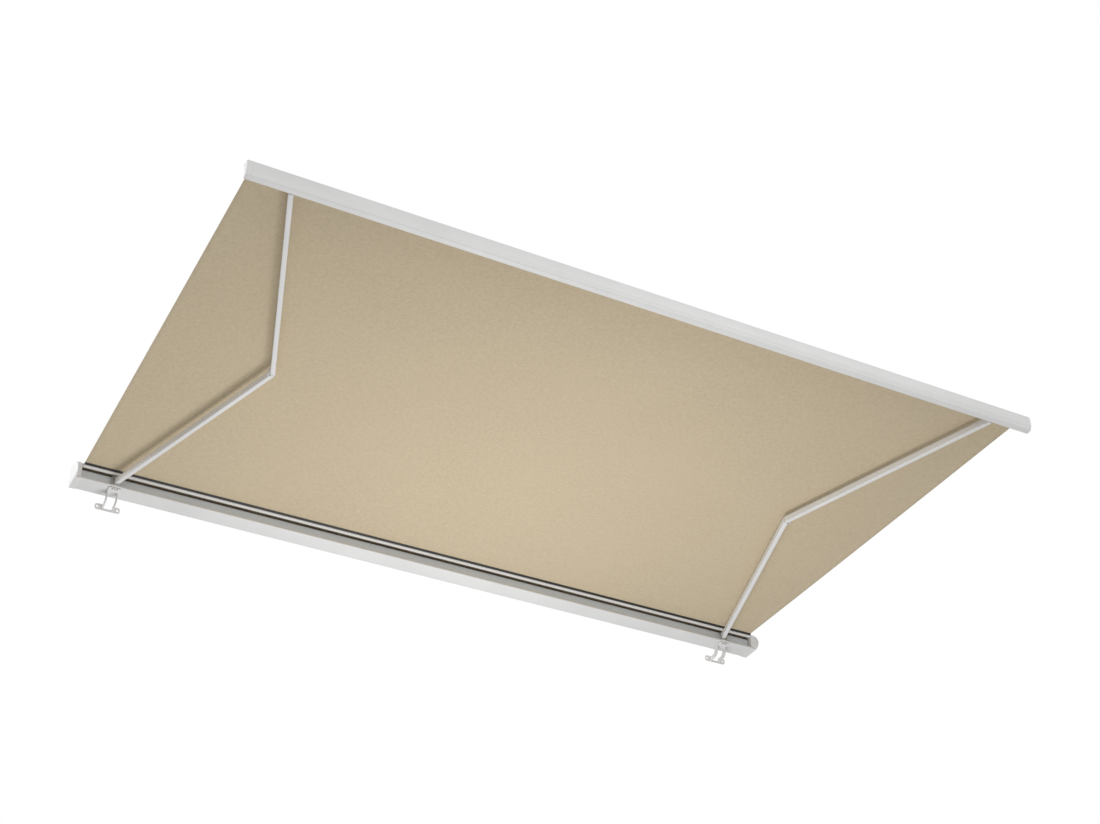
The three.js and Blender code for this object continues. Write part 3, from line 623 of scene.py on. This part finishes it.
LIP = [(3, -89), (0, -94), (0, FLOOR_FRONT), (40, floor_under(40))]
FLOOR_HEEL = [(60, floor_under(60)), (HOUSING_BACK, FLOOR_BACK), (HOUSING_BACK, SHELL_TOP)]
HOUSING = [
    (HOUSING_BACK, SHELL_TOP + SEAM), (HOUSING_BACK, HOUSING_TOP), (HOOD_BACK, HOOD_RISE)
]
NOSE = [(HOOD_BACK - SEAM, HOOD_RISE), (60, 33), (43, 27), (24, 12), (23, 7)]


def cassette_profiles():
    """Bottom shell, back housing and top hood, each an even wall from end to end."""
    floor = rounded(section(LIP), 5)
    floor += rounded(section(FLOOR_HEEL), HEEL, steps=HEEL_STEPS)[1:]
    shell = sheet_along_x("bottom_shell_extrusion", floor, WALL, HALF_PROFILE)
    fit(shell, SHELL_COAT, "cassette", "bottom_shell")
    back = rounded(section(HOUSING), 12)
    housing = sheet_along_x("back_housing_extrusion", back, WALL, HALF_PROFILE)
    fit(housing, POWDER_COAT, "cassette", "back_housing")
    hood = sheet_along_x("top_hood_extrusion", rounded(section(NOSE), 6), WALL, HALF_PROFILE)
    fit(hood, POWDER_COAT, "cassette", "top_hood")


PANEL_DEPTH, PANEL_WALL, PANEL_CORNER = 36.2, 1.8 * MM, 14 * MM
PANEL_FOOT = floor_under(PANEL_DEPTH) + WALL / MM
PANEL = [
    (PANEL_DEPTH + 5, -20),
    (PANEL_DEPTH, -24),
    (PANEL_DEPTH, PANEL_FOOT + SEAM),
    (PANEL_DEPTH + 11, PANEL_FOOT),
]


def bay_panel():
    """The upright screen in the mouth, its top corners cut round."""
    low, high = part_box("arm_bay_panel")
    path = rounded(section(PANEL), 3)
    panel = sheet_along_x("arm_bay_panel_sheet", path, PANEL_WALL, high.x)
    corners = []
    for sign in SIDES.values():
        x, z = sign * (high.x - PANEL_CORNER), high.z - PANEL_CORNER
        arc = [
            (x + sign * PANEL_CORNER * sin(a), z + PANEL_CORNER * cos(a))
            for a in np.linspace(0, pi / 2, 13)
        ]
        past = sign * (high.x + MM)
        outline = arc + [(past, z), (past, high.z + MM), (x, high.z + MM)]
        corners.append(prism("corner", outline, low.y - MM, high.y + MM, "Y"))
    fit(combined(panel, corners, "DIFFERENCE"), PANEL_COAT, "cassette", "arm_bay_panel")


GUIDE_AXIS = at(8, -11.6)
GUIDE_OUTER, GUIDE_INNER = 10 * MM, 8.4 * MM
# The black strip's free edge, and the stretch of the tube that its foot lies on, in degrees. The
# strip is painted shade: it darkens the line where the cloth meets the tube.
SHADE_STRIP_EDGE = [(-15.2, -0.9), (-15.5, -1.1), (-15.5, -1.5), (-15.2, -1.75)]
SHADE_STRIP_FOOT = range(165, 104, -4)


def guide():
    """The tube inside the mouth, the moulded plugs in its ends, and a black strip on it that is
    painted shade where the cloth meets the tube.
    """
    outlines = circle(GUIDE_AXIS, GUIDE_OUTER, 64), circle(GUIDE_AXIS, GUIDE_INNER, 64)
    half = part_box("guide_tube")[1].x
    tube = ring_of("guide_tube_extrusion", outlines, -half, half)
    fit(tube, POWDER_COAT, "cassette", "guide_tube")
    for word in SIDES:
        node = f"guide_plug_{word}"
        fit(bevelled(copy_of(node), 0.4 * MM), BLACK, "cassette", node)
    (y, z), reach = GUIDE_AXIS, GUIDE_OUTER + SEAM * MM
    foot = [(y + reach * cos(radians(a)), z + reach * sin(radians(a))) for a in SHADE_STRIP_FOOT]
    # Painted shade: a black strip that darkens the line between the cloth and the tube.
    seal = prism("painted_shade_strip", section(SHADE_STRIP_EDGE) + foot, -HALF_CLOTH, HALF_CLOTH)
    fit(seal, BLACK, "cassette", "mouth_seal")


CAP_BACK, SKIN_BACK, CAP_FLOOR = 136, 136.5, -107
CAP_BODY = [
    (60, CAP_FLOOR),
    (4, CAP_FLOOR),
    (1, -100),
    (1, -2),
    (21.5, 5),
    (22, 12),
    (43, 29),
    (60, 35.5),
    (CAP_BACK, 35.5),
    (CAP_BACK, -40),
]
CAP_SKIN = [
    (70, CAP_FLOOR),
    (8, CAP_FLOOR),
    (-22, -104),
    (-38, -84),
    (-40, -60),
    (-12, -15),
    (46, 29),
    (62, 36.5),
    (126, 36.5),
    (SKIN_BACK, 24),
    (SKIN_BACK, -40),
]
# The skin stands out straight, then domes: each ring is drawn in towards the middle by a share,
# and as far as the dome's edge the rings follow a quarter of an ellipse.
DOME_MIDDLE = (56, -38)
DOME_STRAIGHT, DOME_CROWN, DOME_EDGE = 5 * MM, 9 * MM, 0.36
DOME_SHARES = (0, 0.008, 0.02, 0.04, 0.07, 0.11, 0.17, 0.25, 0.36, 0.5, 0.7, 0.9)
BODY_PAST, SKIN_START = 2 * MM, 1.2 * MM
SCREW_SEATS, SEAT_INSET, SEAT_RADIUS = ((31, 15), (1, -92)), 12 * MM, 2.5 * MM
SEAT_FRONT, SEAT_BACK = 20 * MM, 14 * MM
# The roller turns in a round socket at the left, and its motor is held in a square one.
ROLLER_SOCKET = {"left": (16.4 * MM, 40), "right": (11.4 * MM, 4)}
PLUG_BORE, SOCKET_DEPTH, BORE_DEPTH = 4.4 * MM, 14.4 * MM, 8.4 * MM


def cap_heel(back, end):
    """A cap's rounded rear lower corner."""
    return rounded(section([(back, -50), (back, CAP_FLOOR), (end, CAP_FLOOR)]), HEEL, HEEL_STEPS)


def cap_openings(word, sign):
    """What is cut from a cap: two screw seats, the roller's socket and the guide plug's bore."""
    tools = []
    for y, z in section(SCREW_SEATS):
        seat = circle((sign * (HALF_WIDTH - SEAT_INSET), z), SEAT_RADIUS, 24)
        tools.append(prism("seat", seat, y - SEAT_FRONT, y + SEAT_BACK, "Y"))
    inner = sign * (HALF_MOUTH - MM)
    socket = circle((ROLLER_Y, ROLLER_Z), *ROLLER_SOCKET[word])
    tools.append(prism("socket", socket, inner, sign * (HALF_MOUTH + SOCKET_DEPTH)))
    bore = circle(GUIDE_AXIS, PLUG_BORE, 32)
    tools.append(prism("bore", bore, inner, sign * (HALF_MOUTH + BORE_DEPTH)))
    return tools


def end_caps():
    """Moulded caps: a body that fills the cassette's section and a domed outer skin."""
    body_outline = rounded(section(CAP_BODY), 4, steps=5) + cap_heel(CAP_BACK, 70)
    skin_outline = rounded(section(CAP_SKIN), 14, steps=7) + cap_heel(SKIN_BACK, 80)
    middle = at(*DOME_MIDDLE)
    for word, sign in SIDES.items():
        body = prism("body", body_outline, sign * HALF_MOUTH, sign * (HALF_WIDTH + BODY_PAST))
        rings = [(sign * (HALF_WIDTH + SKIN_START), skin_outline)]
        for share in DOME_SHARES:
            rise = (1 - (1 - min(share / DOME_EDGE, 1)) ** 2) ** 0.5
            out = HALF_WIDTH + (DOME_STRAIGHT + DOME_CROWN * rise)
            rings.append((sign * out, shrunk(skin_outline, middle, share)))
        cap = combined(body, [stack("skin", rings)], "UNION")
        cap.name = f"end_cap_moulding_{word}"
        combined(cap, cap_openings(word, sign), "DIFFERENCE")
        fit(bevelled(cap, 0.6 * MM, 2, 50), MOULDED, "cassette", f"end_cap_{word}")


CAP_SHANK = (1.7 * MM, 20)
CAP_HEAD = (1.9 * MM, 1.6 * MM, 0.5, 1.4 * MM)


def cap_screws(tree):
    """Two small screws in the front edge of each cap."""
    for word in SIDES:
        for level in ("upper", "lower"):
            place = f"{word}_{level}"
            node = f"end_cap_screw_{place}"
            screw(f"cap_screw_{place}", node, tree, "Y", CAP_SHANK, CAP_HEAD)


# ---------------------------------------------------------------- roller and cloth
# The sheet is as thick as CLOTH, and as HEMMED where it is folded into a hem.
HEM, HEMMED = 26 * MM, 1.15 * MM
SAG, RIPPLE = 5 * MM, 0.5 * MM
CLOTH = 0.7 * MM
TUBE_OUTER, TUBE_INNER = 38.5 * MM, 37 * MM
WOUND_OUTER, WOUND_INNER, WOUND_STEPS = 39.6 * MM, 38.7 * MM, 96


def roller():
    """The tube with the cloth's last turns on it, and what holds and drives it."""
    centre = (ROLLER_Y, ROLLER_Z)
    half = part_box("roller_tube")[1].x
    outlines = circle(centre, TUBE_OUTER, 72), circle(centre, TUBE_INNER, 72)
    tube = ring_of("roller_tube_rolled", outlines, -half, half)
    fit(tube, ZINC, "roller", "roller_tube")
    outer = []
    for i in range(WOUND_STEPS):
        angle = 2 * pi * i / WOUND_STEPS + pi / 2
        radius = WOUND_OUTER - CLOTH * (1 - i / WOUND_STEPS)
        outer.append((centre[0] + radius * cos(angle), centre[1] + radius * sin(angle)))
    inner = circle(centre, WOUND_INNER, WOUND_STEPS)
    from_top = inner[WOUND_STEPS // 4 :] + inner[: WOUND_STEPS // 4]
    turns = ring_of("wound_cloth", (outer, from_top), -HALF_CLOTH, HALF_CLOTH)
    fit(turns, CANVAS, "roller", "cloth_turns")
    for node, material in (
        ("tube_motor", DARK_STEEL),
        ("motor_crown", BLACK),
        ("drive_wheel", BLACK),
        ("roller_plug", BLACK),
        ("roller_bearing", MOULDED),
    ):
        fit(bevelled(copy_of(node), 0.5 * MM), material, BODY_OF[node], node)


def sag_at(x, y):
    """How far the stretched cloth hangs below the straight line between roller and bar."""
    t = (y - CANOPY_LOW.y) / (CANOPY_HIGH.y - CANOPY_LOW.y)
    across = 1 - 0.35 * (x / HALF_CLOTH) ** 2
    ripple = RIPPLE * sin(x * 2.3 + 1.1) * sin(y * 3.1 + 0.4)
    return (SAG * across + ripple) * 4 * t * (1 - t)


CLOTH_ACROSS, CLOTH_ALONG = 101, 71
# The cloth's outer lip is thinner than the hem, and the hem's inner edge slopes down to the cloth.
LIP_WIDTH, LIP_SHARE, HEM_SLOPE, NEARLY = 0.5 * MM, 0.35, 1.2 * MM, 0.1 * MM


def canopy_cloth():
    """One stretched sheet with a folded hem down each side."""
    hem_edge = HALF_CLOTH - HEM
    edge = [HALF_CLOTH, HALF_CLOTH - LIP_WIDTH, hem_edge]
    inner = list(np.linspace(HEM_SLOPE - hem_edge, hem_edge - HEM_SLOPE, CLOTH_ACROSS))
    xs = [-e for e in edge] + inner + edge[::-1]
    ys = list(np.linspace(CANOPY_LOW.y, CANOPY_HIGH.y, CLOTH_ALONG))
    nx, ny = len(xs), len(ys)
    vertices = []
    for side in (-1, 1):
        for x in xs:
            thick = HEMMED if abs(x) >= hem_edge - NEARLY else CLOTH
            half = 0.5 * thick * (LIP_SHARE if abs(x) > HALF_CLOTH - NEARLY else 1)
            for y in ys:
                vertices.append((x, y, CLOTH_Z + HEMMED / 2 - sag_at(x, y) + side * half))

    def corner(top, i, j):
        return top * nx * ny + i * ny + j

    faces = []
    for i in range(nx - 1):
        for j in range(ny - 1):
            around = (i, j), (i + 1, j), (i + 1, j + 1), (i, j + 1)
            for top in (0, 1):
                faces.append(tuple(corner(top, *place) for place in around))
    sides = [((i, j), (i + 1, j)) for i in range(nx - 1) for j in (0, ny - 1)]
    sides += [((i, j), (i, j + 1)) for j in range(ny - 1) for i in (0, nx - 1)]
    for near, far in sides:
        faces.append((corner(0, *near), corner(0, *far), corner(1, *far), corner(1, *near)))
    cloth = new_object("canopy_cloth", vertices, faces, 60)
    return fit(cloth, CANVAS, "cassette", "canopy")


STITCH_PITCH, THREAD_RADIUS = 3.6 * MM, 0.3 * MM
SEAM_START, SEAM_INSET = 6 * MM, 4 * MM


def hem_seams(tree):
    """Two rows of stitches down each hem, on the underside of the cloth."""
    start = CANOPY_LOW.y + SEAM_START
    count = int((CANOPY_HIGH.y - start) / STITCH_PITCH) - 2
    values = {"Count": count, "Pitch": STITCH_PITCH, "Thread": THREAD_RADIUS, "Material": THREAD}
    seams = []
    for sign in SIDES.values():
        for inset in (SEAM_INSET, HEM - SEAM_INSET):
            values["Start"] = (sign * (HALF_CLOTH - inset), start, 0)
            seams.append(grown("seam", tree, values))
    stitches = seams[0]
    stitches.name = "hem_stitches"
    with bpy.context.temp_override(active_object=stitches, selected_editable_objects=seams):
        bpy.ops.object.join()
    for vertex in stitches.data.vertices:
        x, y, z = vertex.co
        vertex.co.z = z + CLOTH_Z - sag_at(x, y)
    return fit(stitches, THREAD, "cassette")


# ---------------------------------------------------------------- front bar
# Outlines are (depth, rise) pairs: millimetres behind the bar's lip and above the cloth.
BAR = [
    (0, -85),
    (-20, -84.5),
    (-33, -80),
    (-34.5, -71),
    (-41, -56),
    (-41.5, -32),
    (-39.5, -6),
    (-33, 7),
    (20, 12.5),
]
BAR_RIB = [(-38.8, -9.5), (-24, -5.2), (-15.5, -2.2), (-15.5, 7.2), (-28, 6)]
KEDER = bar_at(-20, 0.6)
GROOVE_RADIUS, ROD_RADIUS = 3 * MM, 2.2 * MM
SLOT_REACH, SLOT_BELOW, SLOT_ABOVE = 20 * MM, 0.6 * MM, 1.8 * MM


def bar_outline():
    return rounded(section(BAR, bar_at), 7)[::-1]


def front_bar():
    """The open extrusion, with a rib whose groove holds the cloth's corded edge."""
    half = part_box("front_bar")[1].x
    profile = sheet_along_x("front_bar_extrusion", bar_outline(), WALL, half)
    combined(profile, [prism("rib", section(BAR_RIB, bar_at), -half, half)], "UNION")
    y, low, high = KEDER[0], CLOTH_Z - SLOT_BELOW, CLOTH_Z + SLOT_ABOVE
    slot = [(y, low), (y + SLOT_REACH, low), (y + SLOT_REACH, high), (y, high)]
    past = half + MM
    tools = [
        prism("groove", circle(KEDER, GROOVE_RADIUS, 32), -past, past),
        prism("slot", slot, -past, past),
    ]
    combined(profile, tools, "DIFFERENCE")
    fit(profile, POWDER_COAT, "bar", "front_bar")
    rod = prism("keder_cord", circle(KEDER, ROD_RADIUS, 24), -HALF_CLOTH, HALF_CLOTH)
    fit(rod, BLACK, "bar", "keder_rod")


# The plug closes the bar's open back, and its outer edge draws in by a share for each ring,
# given with the millimetres that the ring stands inside the plug's outer face.
PLUG_BACK = [(0, -82.5), (0, -1), (20, 8)]
PLUG_MIDDLE, PLUG_EDGE = (-18, -42), 4.5 * MM
PLUG_RINGS = ((0.012, 3.0), (0.025, 1.8), (0.04, 1.0), (0.06, 0.6))


def bar_caps():
    """Moulded plugs that close the bar's ends, each with a softened outer edge."""
    outline = bar_outline() + section(PLUG_BACK, bar_at)
    middle = bar_at(*PLUG_MIDDLE)
    for word, sign in SIDES.items():
        inner = abs(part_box(f"bar_cap_{word}")[0 if sign > 0 else 1].x)
        rings = [(sign * inner, outline), (sign * (HALF_WIDTH - PLUG_EDGE), outline)]
        for share, out in PLUG_RINGS:
            rings.append((sign * (HALF_WIDTH - out * MM), shrunk(outline, middle, share)))
        cap = stack(f"bar_cap_moulding_{word}", rings)
        fit(cap, MOULDED, "bar", f"bar_cap_{word}")


# ---------------------------------------------------------------- arms
CASTINGS = ("elbow_fork", "shoulder_knuckle", "elbow_knuckle", "wrist_knuckle")
BRACKETS = ("shoulder_bracket", "wrist_bracket")
PINS = ("elbow_pin", "shoulder_pin", "wrist_pin")


def arms(coil):
    """Both arms: tubes, castings and brackets with their edges rounded, pins and springs."""
    for word in SIDES:
        for node in (f"upper_arm_{word}", f"forearm_{word}"):
            fit(bevelled(copy_of(node), 0.3 * MM, 1, 60), POWDER_COAT, BODY_OF[node], node)
        for kind in CASTINGS:
            node = f"{kind}_{word}"
            fit(bevelled(copy_of(node), 1.1 * MM, 3, 50), POWDER_COAT, BODY_OF[node], node)
        for kind in BRACKETS:
            node = f"{kind}_{word}"
            fit(bevelled(copy_of(node), 0.9 * MM, 2, 50), ZINC, BODY_OF[node], node)
        for kind in PINS:
            pivot_pin(f"{kind}_{word}")
        arm_spring(word, coil)
        dress(f"spring_rod_{word}", ZINC)


PIN_SHAFT, PIN_HEAD, PIN_CHAMFER, PIN_SIDES = 6 * MM, 2 * MM, 0.6 * MM, 40


def pivot_pin(node):
    """A turned pin with a chamfered head, and on the elbow a second head below."""
    low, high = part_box(node)
    middle = (low + high) / 2
    head = (high.x - low.x) / 2
    profile = [
        (high.z, head - PIN_CHAMFER),
        (high.z - PIN_CHAMFER, head),
        (high.z - PIN_HEAD, head),
        (high.z - PIN_HEAD, PIN_SHAFT),
    ]
    if node.startswith("elbow"):
        profile += [
            (low.z + PIN_HEAD, PIN_SHAFT),
            (low.z + PIN_HEAD, head),
            (low.z + PIN_CHAMFER, head),
            (low.z, head - PIN_CHAMFER),
        ]
    else:
        profile += [(low.z + PIN_CHAMFER, PIN_SHAFT), (low.z, PIN_SHAFT - PIN_CHAMFER)]
    rings = [(z, circle((middle.x, middle.y), radius, PIN_SIDES)) for z, radius in profile]
    fit(stack(node + "_turned", rings, "Z"), ZINC, BODY_OF[node], node)


COIL_TURNS, COIL_RADIUS, COIL_WIRE = 110.0, 8.2 * MM, 1.1 * MM


def arm_spring(word, coil):
    """The coil in the upper arm, on the tube's own centre line."""
    node = f"arm_spring_{word}"
    points = np.array([v.co for v in frame["nodes"][node].data.vertices])
    middle = points.mean(axis=0)
    tube = np.array([v.co for v in frame["nodes"][f"upper_arm_{word}"].data.vertices])
    along = np.linalg.svd(tube - tube.mean(axis=0), full_matrices=False)[2][0]
    reach = (points - middle) @ along
    values = {
        "Turns": COIL_TURNS,
        "Radius": COIL_RADIUS,
        "Length": float(reach.max() - reach.min() - 2 * COIL_WIRE),
        "Wire": COIL_WIRE,
        "Material": ZINC,
    }
    spring = grown(f"arm_spring_coil_{word}", coil, values)
    start = Vector(middle + along * (reach.min() + COIL_WIRE))
    turn = Vector((0, 0, 1)).rotation_difference(Vector(along)).to_matrix().to_4x4()
    spring.data.transform(Matrix.Translation(start) @ turn)
    fit(spring, ZINC, BODY_OF[node], node)


# ---------------------------------------------------------------- wall brackets
FOOT_SHANK = (1.8 * MM, 24)
FOOT_HEAD = (3.2 * MM, 2 * MM, 0.55, 2 * MM)


def wall_brackets(tree):
    """Bent plates with rounded edges, and the three screws under the foot of each."""
    for word in SIDES:
        node = f"wall_bracket_{word}"
        fit(bevelled(copy_of(node), 0.6 * MM, 2, 50), POWDER_COAT, "cassette", node)
        for i in (1, 2, 3):
            place = f"{word}_{i}"
            screw(f"pan_screw_{place}", f"foot_screw_{place}", tree, "Z", FOOT_SHANK, FOOT_HEAD)


# ---------------------------------------------------------------- stage, light and camera
# How strongly the white surroundings light the awning. The camera sees them at full strength.
FILL = 0.49
FLOOR_Z, FLOOR_REACH = -14.0, 60.0
# The camera's place, and its turns about X and Z in degrees.
CAMERA_PLACE, CAMERA_TILT, CAMERA_PAN = (-3.915, -9.1935, -5.6725), 90 + 35.07, -27.24
# Round lamp panels: name, place, what it points at, diameter and watts.
PANELS = [
    ("wall_panel", (-0.2, -0.6, -2.6), (-0.2, -0.9, 0.17), 2.4, 21),
    ("low_panel", (-0.6, -0.2, -4.2), (-0.2, -0.8, 0.17), 2.4, 27),
    ("small_panel", (0.5, -1.4, -3.4), (0.3, -1.1, 0.17), 1.2, 27),
    ("bar_panel", (0.0, -8.0, 0.6), (0.0, -2.9, 0.1), 3.0, 31),
    ("front_panel", (-1.5, -9.0, -1.0), (0.0, -2.9, 0.1), 2.5, 61),
    ("upper_panel", (1.5, -6.0, 1.2), (0.0, -2.9, 0.1), 2.0, 21),
    ("left_panel", (-8.0, 0.5, 2.5), (-2.3, -1.5, 0.15), 3.0, 330),
]


def light_and_stage():
    scene = bpy.context.scene
    scene.view_settings.view_transform = "Standard"
    world = bpy.data.worlds.new("white_studio")
    scene.world = world
    world.use_nodes = True
    tree = world.node_tree
    tree.nodes.clear()
    backdrop = add(tree, "ShaderNodeBackground", {"Color": (1, 1, 1, 1), "Strength": 1.0})
    fill = add(tree, "ShaderNodeBackground", {"Color": (1, 1, 1, 1), "Strength": FILL})
    ray = add(tree, "ShaderNodeLightPath")
    choice = {0: ray.outputs["Is Camera Ray"], 1: fill.outputs[0], 2: backdrop.outputs[0]}
    mix = add(tree, "ShaderNodeMixShader", choice)
    add(tree, "ShaderNodeOutputWorld", {0: mix.outputs[0]})

    for name, place, target, size, power in PANELS:
        lamp = bpy.data.lights.new(name, "AREA")
        lamp.shape = "DISK"
        lamp.size = size
        lamp.energy = power
        panel = bpy.data.objects.new(name, lamp)
        panel.location = place
        aim = Vector(target) - panel.location
        panel.rotation_euler = aim.to_track_quat("-Z", "Y").to_euler()
        scene.collection.objects.link(panel)

    around = [(-1, -1), (1, -1), (1, 1), (-1, 1)]
    corners = [(x * FLOOR_REACH, y * FLOOR_REACH, FLOOR_Z) for x, y in around]
    floor = new_object("studio_floor", corners, [(0, 1, 2, 3)])
    material, tree, shader = new_material("studio_floor", 0.9, specular=0.1)
    shader.inputs["Base Color"].default_value = (0.86, 0.86, 0.86, 1)
    floor.data.materials.append(material)


def camera():
    data = bpy.data.cameras.new("camera")
    data.lens = 61.17
    data.sensor_width = 36.0
    data.clip_end = 200.0
    shot = bpy.data.objects.new("camera", data)
    shot.location = CAMERA_PLACE
    shot.rotation_euler = (radians(CAMERA_TILT), 0, radians(CAMERA_PAN))
    bpy.context.scene.collection.objects.link(shot)
    bpy.context.scene.camera = shot


# ---------------------------------------------------------------- the whole awning
camera()
light_and_stage()
screws = screw_tree()
seam = stitch_tree()
cassette_profiles()
bay_panel()
guide()
end_caps()
cap_screws(screws)
roller()
cloth = canopy_cloth()
stitches = hem_seams(seam)
front_bar()
bar_caps()
arms(spring_tree())
wall_brackets(screws)

# In the real awning the cloth winds up as the arms fold, and what is left lies between the roller
# and the shut bar. Here the cloth and its stitches only get meshes of their own.
for piece in (cloth, stitches):
    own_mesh(piece)
